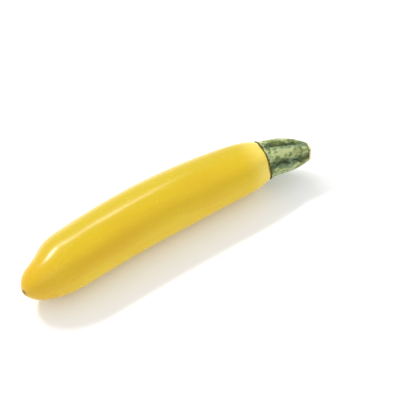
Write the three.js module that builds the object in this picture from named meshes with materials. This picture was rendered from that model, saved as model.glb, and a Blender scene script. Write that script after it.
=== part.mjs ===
// A yellow zucchini as picked: the fruit and its cut stem, lying on its side.
//
// Millimetres, +Z up. The fruit lies along X with its stem towards +X. Its axis bows in the
// horizontal plane, with the hollow side towards -Y, and its belly rests at Z = 0 on a narrow flat
// of its own. The origin is at the middle of the underside of the bounding box.
//
// Both pieces are turned as straight lathe forms first. A vertex then has an axial place s, counted
// from the blossom tip, a radius r and a turn phi from +Z towards -Y. The ridges change r, and
// onSpine carries s along the bowed axis.
import * as THREE from "three";

// ---- Driving dimensions ---------------------------------------------------------------------

const FRUIT = {
  length: 181, // blossom tip to stem seat, along the axis
  radius: 19.5, // of the thickest section
  widest: 0.5, // where the thickest section is, as a share of the length
  blossomTaper: 0.48, // how fast the body thins from there towards the blossom end
  stemTaper: 0.94, // and towards the stem
  tipLength: 36, // the egg-shaped blossom end
  shoulderLength: 24, // the blunt shoulder round the stem seat
  shoulderFall: 2.4, // superellipse exponents of the shoulder, along the axis
  shoulderBlunt: 6, // and across it
  ridge: 0.004, // height of the five ridges at mid-length, as a share of the radius
  ridgeAtBlossom: 0.012, // added at the blossom end
  ridgeAtStem: 0.024, // added at the stem end
};

// A shallow hollow in the far flank of the blossom end.
const HOLLOW = {
  depth: 2.9,
  place: 15, // axial place of its middle
  length: 9, // over which it fades along the fruit
  turn: THREE.MathUtils.degToRad(-62),
  width: THREE.MathUtils.degToRad(42), // over which it fades round the fruit
};

const STEM = {
  length: 28, // stem seat to the middle of the cut face
  ribRadius: 12.2, // over the ribs near the base
  cutRadius: 6, // over the ribs at the cut
  taperPower: 2.7, // the stem stays thick for half its length, then narrows
  groove: 0.25, // depth of the grooves, as a share of the radius over the ribs
  grooveAtBase: 0.08, // and at the base, where they are shallow
  grooveLength: 6, // over which they deepen
  flare: 0.5, // how far the rim of the base spreads past ribRadius
  flareLength: 2, // over which that spread dies away
  lip: 1.1, // thickness of the rim's edge
  cutSlant: THREE.MathUtils.degToRad(10), // the knife went through at a slight slant
};

const RIDGES = 5;
const RIDGE_TURN = THREE.MathUtils.degToRad(27); // one of the ridges points up and towards -Y
const BODY_BEND = 560; // radius of the axis along the fruit
const NECK_BEND = 38; // the foot of the stem turns more sharply
const NECK_LENGTH = 9; // and past this the stem is straight
const SPINE_MIDDLE = 104; // the axial place where the axis runs along X
const BELLY_FLAT = 0.5; // how deep the flat under the belly is
const SEAT_GAP = 0.6; // axial clearance between the stem and the shoulder below it

const AROUND = 40; // facets round each piece
const TIP_ROWS = 10;
const BODY_ROWS = 14;
const SHOULDER_ROWS = 10;
const SEAT_ROWS = 5;
const FLANK_ROWS = 12;
const CUT_ROWS = 2;
const DEPTH_PASSES = 6; // enough for shoulderDepth to settle

// ---- The form -------------------------------------------------------------------------------

const BODY_END = FRUIT.length - FRUIT.shoulderLength;
const AXIS_HEIGHT = FRUIT.radius - BELLY_FLAT;

/** The body's radius at s without its two rounded ends. */
function bodyRadius(s) {
  const fromWidest = s / FRUIT.length - FRUIT.widest;
  const taper = fromWidest < 0 ? FRUIT.blossomTaper : FRUIT.stemTaper;
  return FRUIT.radius * (1 - taper * fromWidest ** 2);
}

/** The fruit's radius at s, ridges left out. */
function fruitRadius(s) {
  const intoTip = Math.max(0, 1 - s / FRUIT.tipLength);
  const intoShoulder = Math.max(0, (s - BODY_END) / FRUIT.shoulderLength);
  const tip = Math.sqrt(1 - intoTip ** 2);
  const shoulder = Math.max(0, 1 - intoShoulder ** FRUIT.shoulderFall) ** (1 / FRUIT.shoulderBlunt);
  return bodyRadius(s) * tip * shoulder;
}

/** 1 on a ridge and -1 between two of them. */
function ridgeWave(phi) {
  return Math.cos(RIDGES * (phi - RIDGE_TURN));
}

/** How far the hollow takes the skin in. */
function hollow(s, phi) {
  const along = (s - HOLLOW.place) / HOLLOW.length;
  const turn = THREE.MathUtils.euclideanModulo(phi - HOLLOW.turn + Math.PI, 2 * Math.PI) - Math.PI;
  const share = fruitRadius(s) / FRUIT.radius;
  return share * HOLLOW.depth * Math.exp(-(along ** 2) - (turn / HOLLOW.width) ** 2);
}

/** The factor that the ridges put on the fruit's radius. */
function fruitRidge(s, phi) {
  const fromMiddle = (2 * s) / FRUIT.length - 1;
  const end = fromMiddle < 0 ? FRUIT.ridgeAtBlossom : FRUIT.ridgeAtStem;
  return 1 + (FRUIT.ridge + end * fromMiddle ** 4) * ridgeWave(phi);
}

/** How far the shoulder at radius r lies below the stem seat: the fruit's radius solved for s. */
function shoulderDepth(r, phi) {
  let depth = 0;
  for (let pass = 0; pass < DEPTH_PASSES; pass += 1) {
    const s = FRUIT.length - depth;
    const share = r / (bodyRadius(s) * fruitRidge(s, phi));
    const left = (1 - share ** FRUIT.shoulderBlunt) ** (1 / FRUIT.shoulderFall);
    depth = FRUIT.shoulderLength * (1 - left);
  }
  return depth;
}

/** The stem's radius at a share f of its length, from 0 at the base to 1 at the cut. */
function stemRadius(f, phi) {
  const overRibs = STEM.cutRadius + (STEM.ribRadius - STEM.cutRadius) * (1 - f ** STEM.taperPower);
  const flare = STEM.flare * Math.exp((-f * STEM.length) / STEM.flareLength);
  const belowRib = (1 - ridgeWave(phi)) / 2;
  const deepened = Math.min(1, (f * STEM.length) / STEM.grooveLength);
  const groove = THREE.MathUtils.lerp(STEM.grooveAtBase, STEM.groove, deepened);
  return (overRibs + flare) * (1 - groove * belowRib);
}

/** Carries a straight form's point to the bowed axis: fruit, neck, then the straight stem. */
function onSpine(s, r, phi, target) {
  const neckPart = THREE.MathUtils.clamp(s - FRUIT.length, 0, NECK_LENGTH);
  const straight = Math.max(0, s - FRUIT.length - NECK_LENGTH);
  const out = -r * Math.sin(phi);
  const bodyAngle = (Math.min(s, FRUIT.length) - SPINE_MIDDLE) / BODY_BEND;
  const angle = bodyAngle + neckPart / NECK_BEND;
  const bend = neckPart > 0 ? NECK_BEND : BODY_BEND;
  const centreArm = BODY_BEND - bend;
  const arm = bend + out;
  const x = centreArm * Math.sin(bodyAngle) + arm * Math.sin(angle) + straight * Math.cos(angle);
  const y = centreArm * Math.cos(bodyAngle) + arm * Math.cos(angle) - straight * Math.sin(angle);
  return target.set(x, y - BODY_BEND, AXIS_HEIGHT + r * Math.cos(phi));
}

// ---- The meshes -----------------------------------------------------------------------------

/**
 * Turns a lathe form of `rows` rows and moves each vertex to where place(row, phi) says, an object
 * with s and r. The lathe itself only brings the vertices and the faces between them.
 */
function turned(rows, place) {
  const profile = [];
  for (let row = 0; row <= rows; row += 1) {
    const atPole = row === 0 || row === rows;
    profile.push(new THREE.Vector2(atPole ? 0 : 1, row));
  }
  const geometry = new THREE.LatheGeometry(profile, AROUND);
  const vertices = geometry.getAttribute("position");
  const point = new THREE.Vector3();
  for (let i = 0; i < vertices.count; i += 1) {
    const row = i % (rows + 1);
    const facet = Math.floor(i / (rows + 1)) % AROUND;
    const phi = (2 * Math.PI * facet) / AROUND;
    const { s, r } = place(row, phi);
    onSpine(s, r, phi, point);
    vertices.setXYZ(i, point.x, point.y, Math.max(0, point.z));
  }
  geometry.deleteAttribute("uv");
  geometry.computeVertexNormals();
  return geometry;
}

/** The axial place of each row of the fruit, close together where the ends curve. */
function fruitRow(row) {
  if (row <= TIP_ROWS) {
    return FRUIT.tipLength * (1 - Math.cos((Math.PI / 2) * (row / TIP_ROWS)));
  }
  if (row <= TIP_ROWS + BODY_ROWS) {
    return THREE.MathUtils.lerp(FRUIT.tipLength, BODY_END, (row - TIP_ROWS) / BODY_ROWS);
  }
  const left = (TIP_ROWS + BODY_ROWS + SHOULDER_ROWS - row) / SHOULDER_ROWS;
  const intoShoulder = Math.cos((Math.PI / 2) * left) ** (2 / FRUIT.shoulderFall);
  return BODY_END + FRUIT.shoulderLength * intoShoulder;
}

/** The fruit, from the blossom tip to the stem seat. */
function fruitGeometry() {
  return turned(TIP_ROWS + BODY_ROWS + SHOULDER_ROWS, (row, phi) => {
    const s = fruitRow(row);
    return { s, r: fruitRadius(s) * fruitRidge(s, phi) - hollow(s, phi) };
  });
}

/** The stem: its underside follows the shoulder, then come its rim, ribbed flank and slanted cut. */
function stemGeometry() {
  const lipRow = SEAT_ROWS + 1;
  const cutRow = lipRow + FLANK_ROWS;
  const rows = cutRow + CUT_ROWS;
  const seat = FRUIT.length + SEAT_GAP;
  return turned(rows, (row, phi) => {
    const rim = stemRadius(0, phi);
    if (row < lipRow) {
      const r = rim * Math.sqrt(row / SEAT_ROWS);
      return { s: seat - shoulderDepth(r, phi), r };
    }
    const f = Math.min(1, (row - lipRow) / FLANK_ROWS);
    const inward = row > cutRow ? (rows - row) / CUT_ROWS : 1;
    const r = stemRadius(f, phi) * inward;
    const lip = seat - shoulderDepth(rim, phi) + STEM.lip;
    const slant = r * Math.tan(STEM.cutSlant) * Math.cos(phi - RIDGE_TURN);
    return { s: THREE.MathUtils.lerp(lip, FRUIT.length + STEM.length + slant, f), r };
  });
}

// ---- The pieces -----------------------------------------------------------------------------

const skin = new THREE.MeshStandardMaterial({ color: 0xdcb42c, roughness: 0.32, metalness: 0 });
const stalk = new THREE.MeshStandardMaterial({ color: 0x5f7d43, roughness: 0.75, metalness: 0 });

const zucchini = new THREE.Group();

const fruit = new THREE.Mesh(fruitGeometry(), skin);
fruit.name = "fruit";
zucchini.add(fruit);

const stem = new THREE.Mesh(stemGeometry(), stalk);
stem.name = "stem";
zucchini.add(stem);

const bounds = new THREE.Box3().setFromObject(zucchini);
const middle = bounds.getCenter(new THREE.Vector3());
zucchini.position.set(-middle.x, -middle.y, -bounds.min.z);

export default zucchini;
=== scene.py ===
"""A yellow zucchini lying on a pale table: waxy ridged skin, corky blossom scar, bristly cut stem.

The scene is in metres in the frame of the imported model: +X runs along the fruit towards its stem,
+Z is up and the hollow side of the bow faces -Y. The forms are first shaped straight, in
millimetres: a point has an axial place s counted from the blossom tip, a radius r from the axis and
a turn phi from +Z towards -Y. Spine.carry takes it to the bowed axis.
"""

import logging
import math
import random
from dataclasses import dataclass, field
from enum import Enum

import bmesh
import bpy
from mathutils import Matrix, Vector, noise


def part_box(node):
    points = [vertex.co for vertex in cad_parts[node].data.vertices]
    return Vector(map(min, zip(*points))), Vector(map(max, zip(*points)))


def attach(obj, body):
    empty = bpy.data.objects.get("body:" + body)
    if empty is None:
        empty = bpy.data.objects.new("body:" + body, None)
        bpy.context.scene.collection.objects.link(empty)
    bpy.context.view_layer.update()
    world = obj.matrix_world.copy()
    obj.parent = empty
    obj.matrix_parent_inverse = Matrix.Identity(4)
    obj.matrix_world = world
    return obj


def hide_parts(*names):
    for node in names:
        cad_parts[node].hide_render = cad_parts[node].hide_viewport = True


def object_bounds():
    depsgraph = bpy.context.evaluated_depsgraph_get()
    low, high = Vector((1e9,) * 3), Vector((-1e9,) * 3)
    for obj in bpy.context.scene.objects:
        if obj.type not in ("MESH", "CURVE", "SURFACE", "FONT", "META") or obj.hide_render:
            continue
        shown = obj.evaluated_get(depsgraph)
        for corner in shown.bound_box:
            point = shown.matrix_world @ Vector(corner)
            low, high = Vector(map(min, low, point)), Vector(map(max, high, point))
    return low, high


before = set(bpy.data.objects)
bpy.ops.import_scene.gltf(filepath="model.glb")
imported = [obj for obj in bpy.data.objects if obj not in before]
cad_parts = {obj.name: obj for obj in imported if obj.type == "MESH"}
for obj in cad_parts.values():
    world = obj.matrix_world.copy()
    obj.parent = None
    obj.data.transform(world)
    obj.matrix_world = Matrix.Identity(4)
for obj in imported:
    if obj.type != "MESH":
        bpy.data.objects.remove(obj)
CAD_LOW, CAD_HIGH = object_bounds()

LOG = logging.getLogger("zucchini")
MM = 0.001
Socket = bpy.types.NodeSocket
Feed = float | tuple[float, ...] | Socket
Colour = tuple[float, float, float, float]


class Mark(Enum):
    """Names of the values that a mesh carries at each vertex for its material."""

    GROWN = "grown"
    ZONES = "zones"


def colour(red: int, green: int, blue: int) -> Colour:
    """A display colour, 0 to 255 a channel, as scene-linear values with full alpha."""
    shares = [channel / 255 for channel in (red, green, blue)]
    linear = [((c + 0.055) / 1.055) ** 2.4 if c > 0.04 else c / 12.92 for c in shares]
    return (linear[0], linear[1], linear[2], 1.0)


def rise(value: float, start: float, end: float) -> float:
    """0 before start, 1 past end, and a smooth climb between them; end may lie below start."""
    share = min(1.0, max(0.0, (value - start) / (end - start)))
    return share * share * (3.0 - 2.0 * share)


def hump(value: float, centre: float, width: float) -> float:
    """A bell of height 1 round centre."""
    return math.exp(-(((value - centre) / width) ** 2))


# ---- Forms --------------------------------------------------------------------------------------


@dataclass(frozen=True)
class Spine:
    """The bowed axis that both the fruit and the stem grew along.

    Attributes:
        fruit_length: axial place where the fruit ends and the stem begins.
        body_bend: radius of the bow along the fruit.
        neck_bend: radius of the tight bow at the foot of the stem.
        neck_length: length of that bow, past which the stem is straight.
        level_place: axial place where the axis runs along X.
        height: height of the axis above the table.
    """

    fruit_length: float = 181.0
    body_bend: float = 560.0
    neck_bend: float = 38.0
    neck_length: float = 9.0
    level_place: float = 104.0
    height: float = 19.0

    def carry(self, s: float, r: float, phi: float, lean: tuple[float, float] = (0.0, 0.0)) -> Vector:
        """Takes a point of a straight form to the bowed axis.

        Args:
            s: axial place.
            r: radius.
            phi: turn.
            lean: how far the section is pushed along -Y and +Z.

        Returns:
            The point in metres, never below the table.
        """
        body_angle = (min(s, self.fruit_length) - self.level_place) / self.body_bend
        neck_part = min(self.neck_length, max(0.0, s - self.fruit_length))
        straight = max(0.0, s - self.fruit_length - self.neck_length)
        angle = body_angle + neck_part / self.neck_bend
        bend = self.neck_bend if neck_part > 0.0 else self.body_bend
        centre = self.body_bend - bend
        arm = bend - r * math.sin(phi) - lean[0]
        x = centre * math.sin(body_angle) + arm * math.sin(angle) + straight * math.cos(angle)
        y = centre * math.cos(body_angle) + arm * math.cos(angle) - straight * math.sin(angle)
        y -= self.body_bend
        z = self.height + r * math.cos(phi) + lean[1]
        return Vector((x, y, max(0.0, z))) * MM


@dataclass(frozen=True)
class Ridges:
    """The five ridges that run along the fruit and go on as the ribs of the stem."""

    count: int = 5
    turn: float = math.radians(27.0)

    def wave(self, phi: float) -> float:
        """1 on a ridge and -1 between two of them."""
        return math.cos(self.count * (phi - self.turn))

    def fold(self, phi: float) -> float:
        """1 on a rib, falling to 0 in the sharp groove between two of them."""
        return abs(math.cos(self.count / 2 * (phi - self.turn)))

    def number(self, phi: float) -> int:
        """Which of the ribs a turn belongs to."""
        return round((phi - self.turn) * self.count / math.tau) % self.count


@dataclass(frozen=True)
class FruitForm:
    """The shape of the fruit, in millimetres and shares."""

    ridges: Ridges = Ridges()
    length: float = 181.0
    radius: float = 19.5
    widest: float = 0.5
    blossom_taper: float = 0.48
    stem_taper: float = 0.94
    tip_length: float = 36.0
    shoulder_length: float = 24.0
    shoulder_fall: float = 2.4
    shoulder_blunt: float = 6.0
    ridge: float = 0.004
    ridge_at_blossom: float = 0.012
    ridge_at_stem: float = 0.024
    swell: float = 0.28
    swell_length: float = 46.0
    swell_width: float = 15.0
    ripple: float = 0.045
    ripple_length: float = 13.0
    ripple_width: float = 4.5
    dent: float = 2.9
    dent_place: float = 15.0
    dent_length: float = 9.0
    dent_turn: float = math.radians(-62.0)
    dent_width: float = math.radians(42.0)
    tip_lean: float = 0.5
    tip_lean_turn: float = math.radians(118.0)
    tip_lean_reach: float = 40.0

    def body_radius(self, s: float) -> float:
        """The radius without the two rounded ends.

        Args:
            s: axial place.

        Returns:
            Millimetres.
        """
        from_widest = s / self.length - self.widest
        taper = self.blossom_taper if from_widest < 0.0 else self.stem_taper
        return self.radius * (1.0 - taper * from_widest**2)

    def smooth_radius(self, s: float) -> float:
        """The radius with the rounded ends, ridges left out.

        Args:
            s: axial place.

        Returns:
            Millimetres.
        """
        into_tip = max(0.0, 1.0 - s / self.tip_length)
        into_shoulder = max(0.0, (s - self.length) / self.shoulder_length + 1.0)
        tip = math.sqrt(max(0.0, 1.0 - into_tip**2))
        shoulder = max(0.0, 1.0 - into_shoulder**self.shoulder_fall) ** (1.0 / self.shoulder_blunt)
        return self.body_radius(s) * tip * shoulder

    def ridge_factor(self, s: float, phi: float) -> float:
        """What the ridges multiply the radius by.

        Args:
            s: axial place.
            phi: turn.

        Returns:
            A factor close to 1.
        """
        from_middle = 2.0 * s / self.length - 1.0
        at_end = self.ridge_at_blossom if from_middle < 0.0 else self.ridge_at_stem
        return 1.0 + (self.ridge + at_end * from_middle**4) * self.ridges.wave(phi)

    def swelling(self, s: float, phi: float) -> float:
        """Uneven growth: long low swells with a fine ripple over them.

        Args:
            s: axial place.
            phi: turn.

        Returns:
            Its height in millimetres.
        """
        y = math.cos(phi) * self.radius
        z = math.sin(phi) * self.radius
        long_place = Vector((s / self.swell_length, y / self.swell_width, z / self.swell_width))
        fine_place = Vector((s / self.ripple_length, y / self.ripple_width, z / self.ripple_width + 7.0))
        return self.swell * noise.noise(long_place) + self.ripple * noise.noise(fine_place)

    def surface(self, s: float, phi: float) -> float:
        """The finished skin.

        Args:
            s: axial place.
            phi: turn.

        Returns:
            Its radius in millimetres.
        """
        smooth = self.smooth_radius(s)
        share = smooth / self.radius
        aside = (phi - self.dent_turn + math.pi) % math.tau - math.pi
        dent = self.dent * hump(s, self.dent_place, self.dent_length) * hump(aside, 0.0, self.dent_width)
        return smooth * self.ridge_factor(s, phi) + share * (self.swelling(s, phi) - dent)

    def shoulder_depth(self, r: float, phi: float) -> float:
        """How far the shoulder lies below the stem seat.

        Args:
            r: radius.
            phi: turn.

        Returns:
            Millimetres along the axis.
        """
        depth = 0.0
        for _ in range(6):
            s = self.length - depth
            share = min(0.995, r / (self.body_radius(s) * self.ridge_factor(s, phi)))
            left = (1.0 - share**self.shoulder_blunt) ** (1.0 / self.shoulder_fall)
            depth = self.shoulder_length * (1.0 - left)
        return depth

    def lean(self, s: float) -> tuple[float, float]:
        """How far the blossom end leans off the axis, along -Y and +Z."""
        amount = self.tip_lean * max(0.0, 1.0 - s / self.tip_lean_reach) ** 2
        return (amount * math.sin(self.tip_lean_turn), amount * math.cos(self.tip_lean_turn))


@dataclass(frozen=True)
class ScarForm:
    """The corky scar that the blossom left at the tip, in millimetres."""

    radius: float = 2.3
    ring_height: float = 0.3
    ring_width: float = 0.55
    sink: float = 0.7
    nub_radius: float = 0.85
    nub_height: float = 0.75
    crumb: float = 0.22
    crumb_size: float = 0.5
    cracks: int = 9
    crack_depth: float = 0.22
    crack_bend: float = 2.5
    waver: float = 0.16
    waver_count: float = 1.3

    def reach(self, phi: float) -> float:
        """Radius of the scar's ring in the direction phi."""
        direction = Vector((math.cos(phi), math.sin(phi), 3.0))
        return self.radius * (1.0 + self.waver * noise.noise(direction * self.waver_count))

    def inside(self, r: float, phi: float) -> float:
        """1 on the scar and 0 on the skin round it."""
        return rise(r, self.reach(phi) + self.ring_width, self.reach(phi) - self.ring_width)

    def relief(self, r: float, phi: float) -> float:
        """The scar's relief over the rounded tip.

        Args:
            r: radius.
            phi: turn.

        Returns:
            Height in millimetres.
        """
        ring = self.ring_height * hump(r, self.reach(phi), self.ring_width)
        nub = self.nub_height * hump(r, 0.0, self.nub_radius)
        grain = Vector((r * math.cos(phi), r * math.sin(phi), 0.0)) / self.crumb_size
        crumbs = self.crumb * noise.noise(grain)
        bend = self.crack_bend * noise.noise(grain * 0.35)
        line = abs(math.cos(self.cracks / 2 * phi + bend)) ** 8
        crack = self.crack_depth * line * hump(r, self.radius / 2, 1.0)
        return ring + self.inside(r, phi) * (nub + crumbs - crack - self.sink)

    def share(self, r: float, phi: float) -> float:
        """Radius as a share of the ring's, at most 2."""
        return min(2.0, r / self.reach(phi))


@dataclass(frozen=True)
class StemForm:
    """The shape of the cut stem, in millimetres and shares."""

    ridges: Ridges = Ridges()
    length: float = 28.0
    rib_radius: float = 12.2
    cut_radius: float = 6.0
    taper_power: float = 2.7
    groove: float = 0.25
    groove_start: float = 0.3
    groove_at_cut: float = 0.06
    rim_waver: float = 0.55
    rim_waver_size: float = 4.5
    flare: float = 0.3
    flare_length: float = 2.0
    lobe: float = 0.25
    spur: float = 0.7
    spur_rib: int = 4
    lip: float = 1.1
    seat_gap: float = 0.3
    # The crevice round the seat: a groove, and the reach of the skin's dark cork and painted shade, wider
    # towards crevice_turn where shade falls.
    crevice: float = 0.4
    crevice_width: float = 0.2
    crevice_side: float = 0.7
    crevice_turn: float = math.radians(100.0)
    cut_slant: float = math.radians(10.0)
    cut_round: float = 1.5
    rib_variety: float = 0.05
    thread: float = 0.16
    thread_width: float = 1.1
    thread_length: float = 9.0
    wrinkle: float = 0.14
    wrinkle_size: float = 2.6
    cut_rough: float = 0.18
    cut_rough_count: float = 9.0
    cut_skin_start: float = 0.965
    cut_skin: float = 0.6
    pith_sink: float = 0.8
    vessel_height: float = 0.28
    vessel_ring: float = 0.68
    vessel_width: float = 0.11
    vessel_count: int = 10

    def over_ribs(self, f: float, phi: float) -> float:
        """The stem's outline over its ribs.

        Args:
            f: share of the length.
            phi: turn.

        Returns:
            Radius in millimetres.
        """
        taper = self.cut_radius + (self.rib_radius - self.cut_radius) * (1.0 - f**self.taper_power)
        fold = self.ridges.fold(phi)
        spur = self.spur if self.ridges.number(phi) == self.spur_rib else 0.0
        spread = self.flare + self.lobe * fold**6 + spur * fold**24
        return taper + spread * math.exp(-f * self.length / self.flare_length)

    def surface(self, f: float, phi: float) -> float:
        """The finished flank with its grooves, threads and wrinkles.

        Args:
            f: share of the length.
            phi: turn.

        Returns:
            Its radius in millimetres.
        """
        fold = self.ridges.fold(phi)
        chance = noise.noise(Vector((self.ridges.number(phi) * 2.3, f * 1.4, 5.0)))
        rib = 1.0 + self.rib_variety * chance * fold
        groove = self.groove * rise(f, -0.12, self.groove_start)
        groove += (self.groove_at_cut - self.groove) * rise(f, 0.6, 1.0)
        base = self.over_ribs(f, phi) * rib * (1.0 - groove * (1.0 - fold) ** 1.3)
        side = Vector((math.cos(phi), math.sin(phi))) * base
        along = f * self.length
        threads = noise.noise(
            Vector((along / self.thread_length, side.x / self.thread_width, side.y / self.thread_width))
        )
        wrinkles = noise.noise(Vector((along, side.x, side.y)) / self.wrinkle_size)
        waver = self.rim_waver * noise.noise(Vector((1.7, side.x, side.y)) / self.rim_waver_size)
        waver *= rise(f, 0.18, 0.0)
        return base + self.thread * threads * rise(f, -0.02, 0.08) + self.wrinkle * wrinkles + waver

    def near_rim(self, r: float, phi: float) -> float:
        """Marks the shoulder under the rim: its groove, and the reach of the dark cork and painted shade
        that the skin gets there, wider towards crevice_turn where shade falls.

        Args:
            r: radius.
            phi: turn.

        Returns:
            1 under the rim, falling to 0 a little way out from it.
        """
        rim = self.over_ribs(0.0, phi)
        side = 0.5 + 0.5 * math.cos(phi - self.crevice_turn)
        return rise(r, rim + self.crevice_width + self.crevice_side * side, rim)

    def cut_relief(self, share: float, phi: float) -> float:
        """Relief of the cut face: sunken pith in a ring of vessels.

        Args:
            share: radius as a share of the face's.
            phi: turn.

        Returns:
            Height in millimetres.
        """
        pith = -self.pith_sink * rise(share, self.vessel_ring, 0.15)
        place = Vector((share * math.cos(phi), share * math.sin(phi), 0.4)) * self.cut_rough_count
        rough = self.cut_rough * noise.noise(place)
        return pith + self.vessel_height * self.vessels(share, phi) + rough

    def vessels(self, share: float, phi: float) -> float:
        """1 on the bundles of vessels that stand in a ring in the cut face."""
        spot = 0.5 + 0.5 * math.cos(self.vessel_count * (phi - self.ridges.turn))
        return hump(share, self.vessel_ring, self.vessel_width) * spot**2


# ---- Modelling ----------------------------------------------------------------------------------


def barrel(rows: int, steps: int) -> bmesh.types.BMesh:
    """Spins a closed barrel of radius 1 along X whose rings stand at whole numbers.

    Args:
        rows: number of the last ring; the first and the last are poles on the axis.
        steps: vertices in a ring.

    Returns:
        A new bmesh, which the caller frees.
    """
    form = bmesh.new()
    edge = form.edges.new((form.verts.new((0.0, 0.0, 0.0)), form.verts.new((rows, 0.0, 0.0))))
    bmesh.ops.subdivide_edges(form, edges=[edge], cuts=rows - 1)
    for vert in form.verts:
        if 0.5 < vert.co.x < rows - 0.5:
            vert.co.z = 1.0
    bmesh.ops.spin(
        form,
        geom=form.verts[:] + form.edges[:],
        cent=(0.0, 0.0, 0.0),
        axis=(1.0, 0.0, 0.0),
        dvec=(0.0, 0.0, 0.0),
        angle=math.tau,
        steps=steps,
        use_merge=True,
        use_duplicate=False,
    )
    bmesh.ops.remove_doubles(form, verts=form.verts[:], dist=1e-4)
    return form


def finish_piece(form: bmesh.types.BMesh, name: str, material: bpy.types.Material) -> bpy.types.Object:
    """Turns a bmesh into a piece with smooth shading that rides on the root body.

    Args:
        form: the finished form, which is freed.
        name: the piece's name.
        material: its finish.

    Returns:
        The new object, at the origin.
    """
    bmesh.ops.recalc_face_normals(form, faces=form.faces[:])
    mesh = bpy.data.meshes.new(name)
    form.to_mesh(mesh)
    form.free()
    mesh.shade_smooth()
    mesh.materials.append(material)
    piece = bpy.data.objects.new(name, mesh)
    bpy.context.scene.collection.objects.link(piece)
    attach(piece, "root")
    LOG.info("%s: %d vertices, %d faces", name, len(mesh.vertices), len(mesh.polygons))
    return piece


@dataclass
class Fruit:
    """The fruit with its ridges, uneven growth and blossom scar."""

    form: FruitForm = field(default_factory=FruitForm)
    scar: ScarForm = field(default_factory=ScarForm)
    stem: StemForm = field(default_factory=StemForm)
    spine: Spine = field(default_factory=Spine)
    steps: int = 180
    tip_rows: int = 90
    tip_crowding: float = 1.6
    body_rows: int = 190
    shoulder_rows: int = 70

    def row_place(self, row: int) -> float:
        """Places the rings, close together at the scar and on the shoulder.

        Args:
            row: number of the ring.

        Returns:
            Its axial place.
        """
        form = self.form
        body_end = form.length - form.shoulder_length
        if row <= self.tip_rows:
            share = (row / self.tip_rows) ** self.tip_crowding
            return form.tip_length * (1.0 - math.cos(math.pi / 2 * share))
        if row <= self.tip_rows + self.body_rows:
            share = (row - self.tip_rows) / self.body_rows
            return form.tip_length + (body_end - form.tip_length) * share
        left = (self.tip_rows + self.body_rows + self.shoulder_rows - row) / self.shoulder_rows
        into = max(0.0, math.cos(math.pi / 2 * left)) ** (2.0 / form.shoulder_fall)
        return body_end + form.shoulder_length * into

    def build(self, material: bpy.types.Material) -> bpy.types.Object:
        """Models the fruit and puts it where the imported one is.

        Args:
            material: the skin.

        Returns:
            The finished piece.
        """
        rows = self.tip_rows + self.body_rows + self.shoulder_rows
        form = barrel(rows, self.steps)
        grown = form.verts.layers.float_vector.new(Mark.GROWN.value)
        zones = form.verts.layers.float_vector.new(Mark.ZONES.value)
        for vert in form.verts:
            s = self.row_place(round(vert.co.x))
            phi = math.atan2(-vert.co.y, vert.co.z)
            r = self.form.surface(s, phi) if abs(vert.co.y) + abs(vert.co.z) > 0.5 else 0.0
            vert[grown] = (s, r * math.cos(phi), r * math.sin(phi))
            near_tip = s < self.form.tip_length / 2
            scar = self.scar.inside(r, phi) if near_tip else 0.0
            # At the stem the third zone marks the groove round the seat and the reach of its dark cork and
            # painted shade.
            edge = self.scar.share(r, phi) if near_tip else self.stem.near_rim(r, phi)
            relief = self.scar.relief(r, phi) if near_tip else self.stem.crevice * edge
            vert[zones] = (0.5 + 0.5 * self.form.ridges.wave(phi), scar, edge)
            vert.co = self.spine.carry(s - relief, r, phi, self.form.lean(s))
        piece = finish_piece(form, "zucchini_fruit", material)
        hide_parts("fruit")
        return piece


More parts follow.
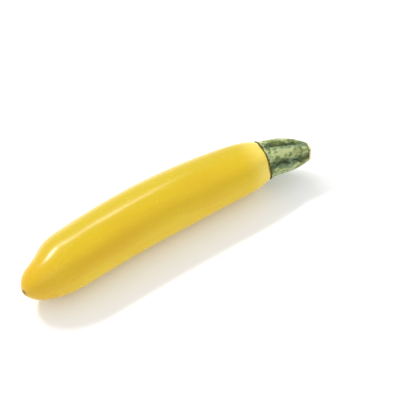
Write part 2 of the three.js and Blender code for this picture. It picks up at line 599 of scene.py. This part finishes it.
@dataclass
class Stem:
    """The cut stem: seat, lobed rim, ribbed flank and cut face."""

    form: StemForm = field(default_factory=StemForm)
    fruit: FruitForm = field(default_factory=FruitForm)
    spine: Spine = field(default_factory=Spine)
    steps: int = 240
    seat_rows: int = 12
    lip_rows: int = 5
    flank_rows: int = 110
    edge_rows: int = 6
    cut_rows: int = 26

    def point(self, row: int, phi: float) -> tuple[float, float, Vector]:
        """Axial place, radius and zones of one vertex.

        Args:
            row: its ring.
            phi: its turn.

        Returns:
            The axial place, the radius, and the zones: rib, cut face and underside, where the third marks
            painted shade on the seat and the lip's foot, falls below 0 where pale is painted on the lip's
            edge and as a painted highlight on the spur's corner, and marks the vessels on the cut face.
        """
        form = self.form
        fold = form.ridges.fold(phi)
        rim = form.surface(0.0, phi)
        rim_place = self.fruit.length + form.seat_gap - self.fruit.shoulder_depth(rim, phi)
        if row < self.seat_rows:
            r = rim * math.sqrt(row / self.seat_rows)
            s = self.fruit.length + form.seat_gap - self.fruit.shoulder_depth(r, phi)
            # The seat under the rim is marked for full painted shade.
            return s, r, Vector((fold, 0.0, 1.0))
        row -= self.seat_rows
        if row < self.lip_rows:
            share = row / self.lip_rows
            bulge = math.sin(math.pi * share) * form.lip / 3
            # Painted shade at the lip's foot, reaching higher on the side towards crevice_turn where shade
            # falls; the lip's edge is marked pale.
            low = 0.25 + 0.45 * rise(math.cos(phi - form.crevice_turn), -0.6, 0.7)
            return rim_place + form.lip * share, rim + bulge, Vector((fold, 0.0, low - share))
        row -= self.lip_rows
        edge = rim_place + form.lip
        f = min(1.0, row / self.flank_rows)
        r = form.surface(f, phi)
        slope = math.tan(form.cut_slant) * math.cos(phi - form.ridges.turn)
        cut_start = self.fruit.length + form.length - form.cut_round
        if row <= self.flank_rows:
            s = edge + (cut_start + slope * r - edge) * f
            # A painted highlight: the spur's corner is marked for pale paint.
            spur = float(form.ridges.number(phi) == form.spur_rib) * fold**8 * rise(f, 0.09, 0.02)
            return s, r, Vector((fold, rise(f, form.cut_skin_start, 1.0) * form.cut_skin, -spur))
        row -= self.flank_rows
        if row <= self.edge_rows:
            angle = math.pi / 2 * row / self.edge_rows
            inset = form.cut_round * (1.0 - math.cos(angle))
            s = cut_start + slope * (r - inset) + form.cut_round * math.sin(angle)
            bare = form.cut_skin + (1.0 - form.cut_skin) * row / self.edge_rows
            return s, r - inset, Vector((fold, bare, 0.0))
        row -= self.edge_rows
        share = 1.0 - row / self.cut_rows
        r = (r - form.cut_round) * share
        relief = form.cut_relief(share, phi) * rise(share, 1.0, 0.85)
        s = cut_start + form.cut_round + slope * r + relief
        return s, r, Vector((share, 1.0, form.vessels(share, phi)))

    def build(self, material: bpy.types.Material) -> bpy.types.Object:
        """Models the stem on its seat.

        Args:
            material: the stalk's finish.

        Returns:
            The finished piece.
        """
        rows = self.seat_rows + self.lip_rows + self.flank_rows + self.edge_rows + self.cut_rows
        form = barrel(rows, self.steps)
        grown = form.verts.layers.float_vector.new(Mark.GROWN.value)
        zones = form.verts.layers.float_vector.new(Mark.ZONES.value)
        for vert in form.verts:
            phi = math.atan2(-vert.co.y, vert.co.z)
            s, r, zone = self.point(round(vert.co.x), phi)
            vert[grown] = (s, r * math.cos(phi), r * math.sin(phi))
            vert[zones] = zone
            vert.co = self.spine.carry(s, r, phi)
        piece = finish_piece(form, "zucchini_stem", material)
        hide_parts("stem")
        return piece


@dataclass
class Bristles:
    """Short stiff hairs along the ribs of the stem."""

    count: int = 520
    length: float = 1.0
    thickness: float = 0.07
    sides: int = 5
    seed: int = 11
    sweep: float = 0.6
    stray: float = 0.3
    point_share: float = 0.15

    def build(self, stem: bpy.types.Object, material: bpy.types.Material) -> bpy.types.Object:
        """Plants the bristles on the flank of the stem.

        Args:
            stem: the finished stem.
            material: the bristles' finish.

        Returns:
            The finished piece, all bristles in one mesh.
        """
        chance = random.Random(self.seed)
        zones = stem.data.attributes[Mark.ZONES.value].data
        corners = stem.data.vertices
        spots = [
            face
            for face in stem.data.polygons
            if all(self.is_ribbed(zones[corner].vector) for corner in face.vertices)
        ]
        # The faces come in another order each time, so they are put in order of place before any draw.
        spots.sort(key=lambda face: sorted(tuple(corners[corner].co) for corner in face.vertices))
        form = bmesh.new()
        for face in chance.choices(spots, weights=[face.area for face in spots], k=self.count):
            length = self.length * chance.uniform(0.5, 1.3) * MM
            aim = face.normal + Vector((self.sweep * chance.uniform(0.3, 1.4), 0.0, 0.0))
            aside = chance.uniform(-self.stray, self.stray)
            upward = chance.uniform(-self.stray, self.stray)
            aim += Vector((0.0, aside, upward))
            turn = aim.to_track_quat("Z", "Y").to_matrix().to_4x4()
            place = Matrix.Translation(face.center + aim.normalized() * length * 0.4) @ turn
            bmesh.ops.create_cone(
                form,
                cap_ends=True,
                segments=self.sides,
                radius1=self.thickness * MM,
                radius2=self.thickness * MM * self.point_share,
                depth=length,
                matrix=place,
            )
        piece = finish_piece(form, "stem_bristles", material)
        return piece

    @staticmethod
    def is_ribbed(zone: Vector) -> bool:
        """Whether a vertex with these zones lies on a rib of the flank."""
        return zone[0] > 0.35 and zone[1] < 0.05 and zone[2] < 0.05


# ---- Finishes -----------------------------------------------------------------------------------


class NodeDesk:
    """Places nodes in one node tree and joins them."""

    def __init__(self, tree: bpy.types.NodeTree) -> None:
        """Keeps the tree to work in."""
        self.tree = tree

    def feed(self, socket: Socket, value: Feed) -> None:
        """Joins a socket to another one, or sets it.

        Args:
            socket: the socket to feed.
            value: a socket, a number or a colour.
        """
        if isinstance(value, bpy.types.NodeSocket):
            self.tree.links.new(value, socket)
        else:
            socket.default_value = value

    def node(self, kind: str, **settings: str | bool) -> bpy.types.Node:
        """Adds a node.

        Args:
            kind: its type.
            settings: its properties by name.

        Returns:
            The node.
        """
        made = self.tree.nodes.new(kind)
        for name, value in settings.items():
            setattr(made, name, value)
        return made

    def math(self, operation: str, first: Feed, second: Feed = 0.0) -> Socket:
        """Adds a sum, product or other Math node.

        Args:
            operation: its operation.
            first: its first value.
            second: its second value.

        Returns:
            Its output.
        """
        made = self.node("ShaderNodeMath", operation=operation)
        self.feed(made.inputs[0], first)
        self.feed(made.inputs[1], second)
        return made.outputs[0]

    def vector(self, operation: str, first: Feed, second: Feed) -> Socket:
        """Adds a Vector Math node.

        Args:
            operation: its operation.
            first: its first vector.
            second: its second vector.

        Returns:
            Its output.
        """
        made = self.node("ShaderNodeVectorMath", operation=operation)
        self.feed(made.inputs[0], first)
        self.feed(made.inputs[1], second)
        return made.outputs[0]

    def blend(self, mask: Feed, low: Feed, high: Feed) -> Socket:
        """Mixes two colours.

        Args:
            mask: share of the second colour.
            low: the colour where the mask is 0.
            high: the colour where the mask is 1.

        Returns:
            The mixed colour.
        """
        made = self.node("ShaderNodeMix", data_type="RGBA")
        self.feed(made.inputs[0], mask)
        self.feed(made.inputs[6], low)
        self.feed(made.inputs[7], high)
        return made.outputs[2]

    def band(self, value: Feed, start: float, end: float, low: float = 0.0, high: float = 1.0) -> Socket:
        """Adds a smooth climb.

        Args:
            value: what is climbed along.
            start: where the climb starts.
            end: where it ends; it may lie below start.
            low: result at the start.
            high: result at the end.

        Returns:
            Its output.
        """
        made = self.node("ShaderNodeMapRange", interpolation_type="SMOOTHSTEP")
        for socket, number in zip(made.inputs, (value, start, end, low, high)):
            self.feed(socket, number)
        return made.outputs[0]

    def mark(self, mark: Mark) -> Socket:
        """The value that the mesh carries under this name."""
        made = self.node("ShaderNodeAttribute", attribute_type="GEOMETRY", attribute_name=mark.value)
        return made.outputs["Vector"]

    def split(self, vector: Socket) -> tuple[Socket, Socket, Socket]:
        """The three parts of a vector."""
        made = self.node("ShaderNodeSeparateXYZ")
        self.feed(made.inputs[0], vector)
        return made.outputs[0], made.outputs[1], made.outputs[2]

    def effect(self, group: bpy.types.NodeTree, **values: Feed) -> Socket:
        """Places a shared effect with its own values.

        Args:
            group: the effect.
            values: its inputs by name.

        Returns:
            Its output.
        """
        made = self.node("ShaderNodeGroup")
        made.node_tree = group
        for name, value in values.items():
            self.feed(made.inputs[name], value)
        return made.outputs[0]


class Effects:
    """Shader node groups that more than one finish uses."""

    def __init__(self) -> None:
        """Builds the groups."""
        self.grain = self.build_grain()
        self.flecks = self.build_flecks()

    @staticmethod
    def start(name: str, inputs: tuple[str, ...]) -> tuple[NodeDesk, dict[str, Socket], Socket]:
        """Opens a group.

        Args:
            name: its name.
            inputs: its value inputs; a vector input named Place comes first.

        Returns:
            A desk in the group, its inputs by name, and the socket of its one output.
        """
        tree = bpy.data.node_groups.new(name, "ShaderNodeTree")
        tree.interface.new_socket("Place", in_out="INPUT", socket_type="NodeSocketVector")
        for each in inputs:
            tree.interface.new_socket(each, in_out="INPUT", socket_type="NodeSocketFloat")
        tree.interface.new_socket("Mask", in_out="OUTPUT", socket_type="NodeSocketFloat")
        desk = NodeDesk(tree)
        entry = desk.node("NodeGroupInput")
        leave = desk.node("NodeGroupOutput")
        return desk, {socket.name: socket for socket in entry.outputs if socket.name}, leave.inputs[0]

    def build_grain(self) -> bpy.types.NodeTree:
        """Builds noise drawn out along the fruit: Size across it and Stretch times as long.

        Returns:
            The group.
        """
        desk, given, leave = self.start("lengthwise_grain", ("Size", "Stretch", "Detail"))
        shape = desk.node("ShaderNodeCombineXYZ")
        desk.feed(shape.inputs[0], desk.math("DIVIDE", 1.0, given["Stretch"]))
        desk.feed(shape.inputs[1], 1.0)
        desk.feed(shape.inputs[2], 1.0)
        noise_node = desk.node("ShaderNodeTexNoise")
        desk.feed(noise_node.inputs["Vector"], desk.vector("MULTIPLY", given["Place"], shape.outputs[0]))
        desk.feed(noise_node.inputs["Scale"], desk.math("DIVIDE", 1.0, given["Size"]))
        desk.feed(noise_node.inputs["Detail"], given["Detail"])
        desk.feed(leave, noise_node.outputs["Fac"])
        return desk.tree

    def build_flecks(self) -> bpy.types.NodeTree:
        """Builds scattered small spots drawn out along the fruit, each of its own size.

        Returns:
            The group.
        """
        desk, given, leave = self.start("flecks", ("Spacing", "Stretch", "Spot"))
        shape = desk.node("ShaderNodeCombineXYZ")
        desk.feed(shape.inputs[0], desk.math("DIVIDE", 1.0, given["Stretch"]))
        desk.feed(shape.inputs[1], 1.0)
        desk.feed(shape.inputs[2], 1.0)
        cells = desk.node("ShaderNodeTexVoronoi")
        desk.feed(cells.inputs["Vector"], desk.vector("MULTIPLY", given["Place"], shape.outputs[0]))
        desk.feed(cells.inputs["Scale"], desk.math("DIVIDE", 1.0, given["Spacing"]))
        chance = desk.node("ShaderNodeSeparateColor")
        desk.feed(chance.inputs[0], cells.outputs["Color"])
        size = desk.math("MULTIPLY", chance.outputs[0], given["Spot"])
        edge = desk.math("DIVIDE", desk.math("SUBTRACT", size, cells.outputs["Distance"]), given["Spot"])
        desk.feed(leave, desk.band(edge, 0.0, 0.5))
        return desk.tree


def new_material(name: str) -> tuple[bpy.types.Material, NodeDesk, bpy.types.Node]:
    """Adds a material with nodes.

    Args:
        name: its name.

    Returns:
        The material, its desk and its Principled BSDF.
    """
    material = bpy.data.materials.new(name)
    material.use_nodes = True
    return material, NodeDesk(material.node_tree), material.node_tree.nodes["Principled BSDF"]


@dataclass(frozen=True)
class SkinFinish:
    """Waxy yellow skin: paler on the shoulder, flecked, faintly streaked, corky at the scar, with painted
    shade on the upper far side, painted bounce light on the lower near side, and dark cork with painted
    shade round the stem's seat.
    """

    ripe: Colour = colour(209, 170, 6)
    lemon: Colour = colour(212, 181, 9)
    deep: Colour = colour(201, 154, 6)
    # Painted light: the upper far side is painted darker and greener as painted shade, and the lower near
    # side paler as painted bounce light from the table.
    upper_painted_shade: Colour = colour(190, 166, 2)
    belly_painted_bounce: Colour = colour(226, 194, 2)
    painted_light_turn: float = math.radians(-38.0)
    reach: float = 19.5
    shoulder: Colour = colour(234, 210, 96)
    # Dark cork and painted shade in the ring round the stem's seat.
    crevice: Colour = colour(124, 104, 36)
    fleck: Colour = colour(226, 200, 64)
    cork: Colour = colour(190, 170, 118)
    cork_dark: Colour = colour(138, 116, 76)
    roughness: float = 0.28
    gloss: float = 0.28
    coat: float = 0.3
    coat_roughness: float = 0.2
    blossom_end: float = 42.0
    shoulder_start: float = 162.0
    shoulder_end: float = 181.0
    shoulder_waver: float = 5.0
    streak_strength: float = 0.14
    ridge_strength: float = 0.22
    scar_dullness: float = 0.45
    scatter: float = 0.12
    scatter_reach: tuple[float, float, float] = (0.004, 0.003, 0.0008)
    bump_strength: float = 0.25
    bump_depth: float = 0.12
    pore_height: float = 0.4
    streak_height: float = 0.15
    crumb_height: float = 4.0

    def material(self, effects: Effects) -> bpy.types.Material:
        """Builds the skin.

        Args:
            effects: the shared node groups.

        Returns:
            The material.
        """
        material, desk, shader = new_material("zucchini_skin")
        place = desk.mark(Mark.GROWN)
        along, up, side = desk.split(place)
        ridge, scar, edge = desk.split(desk.mark(Mark.ZONES))
        clouds = desk.effect(effects.grain, Place=place, Size=16.0, Stretch=3.0, Detail=2.0)
        streaks = desk.effect(effects.grain, Place=place, Size=1.3, Stretch=16.0, Detail=4.0)
        flecks = desk.effect(effects.flecks, Place=place, Spacing=1.9, Stretch=1.9, Spot=0.34)
        pores = desk.effect(effects.grain, Place=place, Size=0.35, Stretch=1.5, Detail=2.0)

        base = desk.blend(desk.band(clouds, 0.3, 0.7), self.ripe, self.lemon)
        streaked = desk.math("MULTIPLY", desk.band(streaks, 0.42, 0.7), self.streak_strength)
        base = desk.blend(streaked, base, self.deep)
        base = desk.blend(desk.math("MULTIPLY", ridge, self.ridge_strength), base, self.lemon)
        # Painted shade on the upper far side and painted bounce light on the lower near side, chosen by the
        # turn round the axis.
        painted_light_up = desk.math("MULTIPLY", up, math.cos(self.painted_light_turn) / self.reach)
        painted_light_side = desk.math("MULTIPLY", side, math.sin(self.painted_light_turn) / self.reach)
        painted_light_facing = desk.math("ADD", painted_light_up, painted_light_side)
        base = desk.blend(desk.band(painted_light_facing, 0.25, 0.95, 0.0, 0.9), base, self.upper_painted_shade)
        base = desk.blend(desk.band(painted_light_facing, -0.1, -0.85, 0.0, 0.8), base, self.belly_painted_bounce)
        base = desk.blend(desk.band(along, self.blossom_end, 2.0, 0.0, 0.5), base, self.deep)
        fleck_area = desk.math("MULTIPLY", flecks, desk.band(clouds, 0.35, 0.6, 0.12, 0.5))
        base = desk.blend(fleck_area, base, self.fleck)
        uneven = desk.math("ADD", along, desk.math("MULTIPLY", streaks, self.shoulder_waver))
        pale = desk.band(uneven, self.shoulder_start, self.shoulder_end, 0.0, 0.85)
        base = desk.blend(pale, base, self.shoulder)
        # Dark cork and painted shade round the stem's seat, made ragged by the clouds and reaching further
        # on the lower near side where shade falls.
        table_wear_and_seat_shade = desk.math("ADD", edge, desk.math("MULTIPLY", desk.math("SUBTRACT", clouds, 0.5), 0.9))
        seat_cork_and_painted_shade = desk.math("MULTIPLY", desk.band(table_wear_and_seat_shade, 0.25, 1.2), desk.band(along, 150.0, 151.0))
        base = desk.blend(seat_cork_and_painted_shade, base, self.crevice)
        crumbs = desk.effect(effects.grain, Place=place, Size=0.6, Stretch=1.0, Detail=5.0)
        corky = desk.math("ADD", crumbs, desk.band(edge, 0.35, 0.9, -0.12, 0.16))
        cork = desk.blend(desk.band(corky, 0.38, 0.66), self.cork_dark, self.cork)
        base = desk.blend(scar, base, cork)
        desk.feed(shader.inputs["Base Color"], base)

        dull = desk.band(streaks, 0.3, 0.75, self.roughness - 0.05, self.roughness + 0.08)
        dull_scar = desk.math("MULTIPLY", scar, self.scar_dullness)
        desk.feed(shader.inputs["Roughness"], desk.math("ADD", dull, dull_scar))
        desk.feed(shader.inputs["Coat Weight"], desk.band(scar, 0.0, 1.0, self.coat, 0.0))
        shader.inputs["Coat Roughness"].default_value = self.coat_roughness
        shader.inputs["Specular IOR Level"].default_value = self.gloss
        shader.inputs["Subsurface Weight"].default_value = self.scatter
        shader.inputs["Subsurface Radius"].default_value = self.scatter_reach
        shader.inputs["Subsurface Scale"].default_value = 1.0

        bump = desk.node("ShaderNodeBump")
        bump.inputs["Strength"].default_value = self.bump_strength
        bump.inputs["Distance"].default_value = self.bump_depth * MM
        pitted = desk.math("MULTIPLY", pores, self.pore_height)
        height = desk.math("ADD", pitted, desk.math("MULTIPLY", streaks, self.streak_height))
        crumbly = desk.math("MULTIPLY", desk.math("MULTIPLY", crumbs, scar), self.crumb_height)
        height = desk.math("ADD", height, crumbly)
        desk.feed(bump.inputs["Height"], height)
        desk.feed(shader.inputs["Normal"], bump.outputs[0])
        return material


@dataclass(frozen=True)
class StalkFinish:
    """Dull mottled green stalk with pale ribs, flecks and a cream cut face, painted shade under its rim and
    a painted highlight on the spur's corner.
    """

    groove: Colour = colour(50, 68, 26)
    green: Colour = colour(104, 122, 66)
    rib: Colour = colour(172, 182, 124)
    bloom: Colour = colour(126, 146, 116)
    fleck: Colour = colour(214, 218, 166)
    olive: Colour = colour(98, 98, 36)
    cut: Colour = colour(238, 220, 176)
    cut_dry: Colour = colour(206, 184, 134)
    cut_ring: Colour = colour(158, 160, 84)
    pith: Colour = colour(244, 234, 204)
    # Painted shade under the stem's rim.
    under: Colour = colour(92, 76, 36)
    roughness: float = 0.62
    mottle_strength: float = 2.6
    torn_strength: float = 1.2
    scatter: float = 0.05
    scatter_reach: tuple[float, float, float] = (0.002, 0.003, 0.001)
    bump_strength: float = 0.7
    bump_depth: float = 0.3
    mottle_height: float = 0.7
    fleck_height: float = 0.5

    def material(self, effects: Effects) -> bpy.types.Material:
        """Builds the stalk.

        Args:
            effects: the shared node groups.

        Returns:
            The material.
        """
        material, desk, shader = new_material("zucchini_stalk")
        place = desk.mark(Mark.GROWN)
        rib, cut, under = desk.split(desk.mark(Mark.ZONES))
        mottle = desk.effect(effects.grain, Place=place, Size=2.4, Stretch=1.5, Detail=5.0)
        threads = desk.effect(effects.grain, Place=place, Size=0.7, Stretch=9.0, Detail=4.0)
        patches = desk.effect(effects.grain, Place=place, Size=5.5, Stretch=1.5, Detail=2.0)
        flecks = desk.effect(effects.flecks, Place=place, Spacing=1.25, Stretch=2.4, Spot=0.42)

        uneven = desk.math("SUBTRACT", mottle, 0.5)
        raised = desk.math("ADD", rib, desk.math("MULTIPLY", uneven, self.mottle_strength))
        base = desk.blend(desk.band(raised, 0.15, 0.65), self.groove, self.green)
        base = desk.blend(desk.band(raised, 0.65, 1.0), base, self.rib)
        base = desk.blend(desk.band(patches, 0.52, 0.68, 0.0, 0.6), base, self.bloom)
        base = desk.blend(desk.band(patches, 0.48, 0.34, 0.0, 0.5), base, self.olive)
        base = desk.blend(desk.band(threads, 0.55, 0.72, 0.0, 0.45), base, self.groove)
        fleck_area = desk.math("MULTIPLY", flecks, desk.band(mottle, 0.4, 0.6, 0.2, 0.85))
        base = desk.blend(fleck_area, base, self.fleck)
        # Painted shade: the underside colour on the seat and at the foot of the lip, under the rim where
        # shade falls.
        base = desk.blend(desk.band(under, 0.1, 0.9), base, self.under)
        # Pale paint where the third zone is below 0: the lip's edge, and a painted highlight on the spur's
        # corner.
        base = desk.blend(desk.band(under, 0.0, -0.7, 0.0, 0.9), base, self.fleck)
        fibres = desk.effect(effects.grain, Place=place, Size=0.45, Stretch=1.0, Detail=3.0)
        face = desk.blend(desk.band(fibres, 0.35, 0.7, 0.0, 0.5), self.cut, self.cut_dry)
        face = desk.blend(desk.band(rib, 0.45, 0.1, 0.0, 0.55), face, self.pith)
        face = desk.blend(desk.math("MULTIPLY", desk.band(under, 0.15, 0.8), 0.8), face, self.cut_ring)
        face = desk.blend(desk.band(rib, 0.9, 0.99, 0.0, 0.35), face, self.cut_ring)
        torn = desk.math("ADD", cut, desk.math("MULTIPLY", uneven, self.torn_strength))
        bare = desk.math("MULTIPLY", torn, desk.band(cut, 0.0, 0.1))
        base = desk.blend(desk.band(bare, 0.25, 0.6), base, face)
        desk.feed(shader.inputs["Base Color"], base)

        dull = desk.band(threads, 0.3, 0.7, self.roughness - 0.1, self.roughness + 0.12)
        desk.feed(shader.inputs["Roughness"], dull)
        shader.inputs["Subsurface Weight"].default_value = self.scatter
        shader.inputs["Subsurface Radius"].default_value = self.scatter_reach
        shader.inputs["Subsurface Scale"].default_value = 1.0
        bump = desk.node("ShaderNodeBump")
        bump.inputs["Strength"].default_value = self.bump_strength
        bump.inputs["Distance"].default_value = self.bump_depth * MM
        height = desk.math("ADD", threads, desk.math("MULTIPLY", mottle, self.mottle_height))
        height = desk.math("ADD", height, desk.math("MULTIPLY", flecks, self.fleck_height))
        desk.feed(bump.inputs["Height"], height)
        desk.feed(shader.inputs["Normal"], bump.outputs[0])
        return material


@dataclass(frozen=True)
class BristleFinish:
    """Pale stiff plant hair, a little greener here and there."""

    pale: Colour = colour(214, 218, 184)
    green: Colour = colour(150, 168, 112)
    roughness: float = 0.45

    def material(self, effects: Effects) -> bpy.types.Material:
        """Builds the bristle finish.

        Args:
            effects: the shared node groups.

        Returns:
            The material.
        """
        material, desk, shader = new_material("stem_bristle")
        coordinates = desk.node("ShaderNodeTexCoord")
        place = desk.vector("MULTIPLY", coordinates.outputs["Object"], (1.0 / MM,) * 3)
        tint = desk.effect(effects.grain, Place=place, Size=3.0, Stretch=1.5, Detail=1.0)
        base = desk.blend(desk.band(tint, 0.35, 0.65), self.pale, self.green)
        desk.feed(shader.inputs["Base Color"], base)
        shader.inputs["Roughness"].default_value = self.roughness
        return material


@dataclass(frozen=True)
class TableFinish:
    """A pale matt table top."""

    pale: Colour = (0.96, 0.96, 0.955, 1.0)
    table_wear_and_seat_shade: Colour = (0.945, 0.945, 0.945, 1.0)
    cloud_scale: float = 3.0
    roughness: float = 0.75
    gloss: float = 0.2

    def material(self) -> bpy.types.Material:
        """Builds the table top.

        Returns:
            The material.
        """
        material, desk, shader = new_material("table_top")
        coordinates = desk.node("ShaderNodeTexCoord")
        cloud = desk.node("ShaderNodeTexNoise")
        desk.feed(cloud.inputs["Vector"], coordinates.outputs["Object"])
        cloud.inputs["Scale"].default_value = self.cloud_scale
        desk.feed(shader.inputs["Base Color"], desk.blend(cloud.outputs["Fac"], self.pale, self.table_wear_and_seat_shade))
        shader.inputs["Roughness"].default_value = self.roughness
        shader.inputs["Specular IOR Level"].default_value = self.gloss
        return material


# ---- Studio -------------------------------------------------------------------------------------


@dataclass(frozen=True)
class SoftLight:
    """A rectangular studio light that looks at the middle of the zucchini.

    Attributes:
        name: its name.
        towards: direction from the zucchini to the light.
        distance: metres.
        width: metres, along X.
        depth: metres.
        power: watts.
        tint: colour of the light.
    """

    name: str
    towards: tuple[float, float, float]
    distance: float
    width: float
    depth: float
    power: float
    tint: tuple[float, float, float] = (1.0, 1.0, 1.0)

    def hang(self, aim: Vector) -> None:
        """Hangs the light so that it looks at aim."""
        lamp = bpy.data.lights.new(self.name, "AREA")
        lamp.shape = "RECTANGLE"
        lamp.size = self.width
        lamp.size_y = self.depth
        lamp.energy = self.power
        lamp.color = self.tint
        holder = bpy.data.objects.new(self.name, lamp)
        bpy.context.scene.collection.objects.link(holder)
        direction = Vector(self.towards).normalized()
        holder.location = aim + direction * self.distance
        holder.rotation_euler = direction.to_track_quat("Z", "Y").to_euler()


@dataclass
class Studio:
    """Table, lights, sky and camera."""

    table_size: float = 40.0
    sky: Colour = (0.985, 0.99, 1.0, 1.0)
    sky_strength: float = 0.9
    azimuth: float = -33.0
    elevation: float = 53.0
    distance: float = 1.0
    lens: float = 144.2
    aim: tuple[float, float, float] = (0.0, 0.0, 0.019)
    frame_offset: tuple[float, float] = (0.0231, 0.0049)
    sensor: float = 36.0
    near: float = 0.01
    lights: tuple[SoftLight, ...] = (
        SoftLight("key_light", (-0.24, 0.60, 0.76), 1.1, 0.32, 0.09, 6.3, (1.0, 0.99, 0.97)),
        SoftLight("strip_light", (0.14, 0.60, 0.755), 1.1, 0.42, 0.09, 2.2, (1.0, 0.99, 0.97)),
        SoftLight("fill_light", (-0.5, -0.7, 0.8), 1.6, 1.2, 1.2, 2.5),
    )

    def build(self) -> None:
        """Sets the table, hangs the lights and places the camera."""
        self.set_table()
        for light in self.lights:
            light.hang(Vector(self.aim))
        world = bpy.data.worlds.new("studio_sky")
        world.use_nodes = True
        background = world.node_tree.nodes["Background"]
        background.inputs["Color"].default_value = self.sky
        background.inputs["Strength"].default_value = self.sky_strength
        bpy.context.scene.world = world
        bpy.context.scene.view_settings.view_transform = "Standard"
        self.place_camera()

    def set_table(self) -> None:
        """Lays the table top at the height that the zucchini rests on."""
        form = bmesh.new()
        bmesh.ops.create_grid(form, x_segments=4, y_segments=4, size=self.table_size / 2)
        mesh = bpy.data.meshes.new("table_top")
        form.to_mesh(mesh)
        form.free()
        mesh.materials.append(TableFinish().material())
        top = bpy.data.objects.new("table_top", mesh)
        bpy.context.scene.collection.objects.link(top)
        top.location.z = CAD_LOW.z

    def place_camera(self) -> None:
        """Looks down at the zucchini from the blossom end's side."""
        turn = math.radians(self.azimuth)
        climb = math.radians(self.elevation)
        back = Vector((math.sin(turn) * math.cos(climb), -math.cos(turn) * math.cos(climb), math.sin(climb)))
        right = Vector((math.cos(turn), math.sin(turn), 0.0))
        up = back.cross(right)
        lens = bpy.data.cameras.new("studio_camera")
        lens.lens = self.lens
        lens.sensor_width = self.sensor
        lens.clip_start = self.near
        camera = bpy.data.objects.new("studio_camera", lens)
        bpy.context.scene.collection.objects.link(camera)
        offset = right * self.frame_offset[0] + up * self.frame_offset[1]
        camera.location = Vector(self.aim) + offset + back * self.distance
        camera.rotation_euler = Matrix((right, up, back)).transposed().to_euler()
        bpy.context.scene.camera = camera


# ---- Assembly -----------------------------------------------------------------------------------


def seat_like_packed(pieces: list[bpy.types.Object]) -> None:
    """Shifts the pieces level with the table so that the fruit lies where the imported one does.

    Args:
        pieces: the fruit first, then whatever moves with it.
    """
    low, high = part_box("fruit")
    corners = [vert.co for vert in pieces[0].data.vertices]
    shift = Vector((low.x - min(c.x for c in corners), high.y - max(c.y for c in corners), 0.0))
    for piece in pieces:
        piece.data.transform(Matrix.Translation(shift))
    LOG.info("shift onto the packed fruit: %.2f mm, %.2f mm", shift.x / MM, shift.y / MM)


def main() -> None:
    """Builds the zucchini piece by piece, then the studio round it."""
    logging.basicConfig(level=logging.INFO, format="%(name)s %(message)s")
    effects = Effects()
    stalk = StalkFinish().material(effects)
    fruit = Fruit().build(SkinFinish().material(effects))
    stem = Stem().build(stalk)
    bristles = Bristles().build(stem, BristleFinish().material(effects))
    seat_like_packed([fruit, stem, bristles])
    Studio().build()


if __name__ == "__main__":
    main()
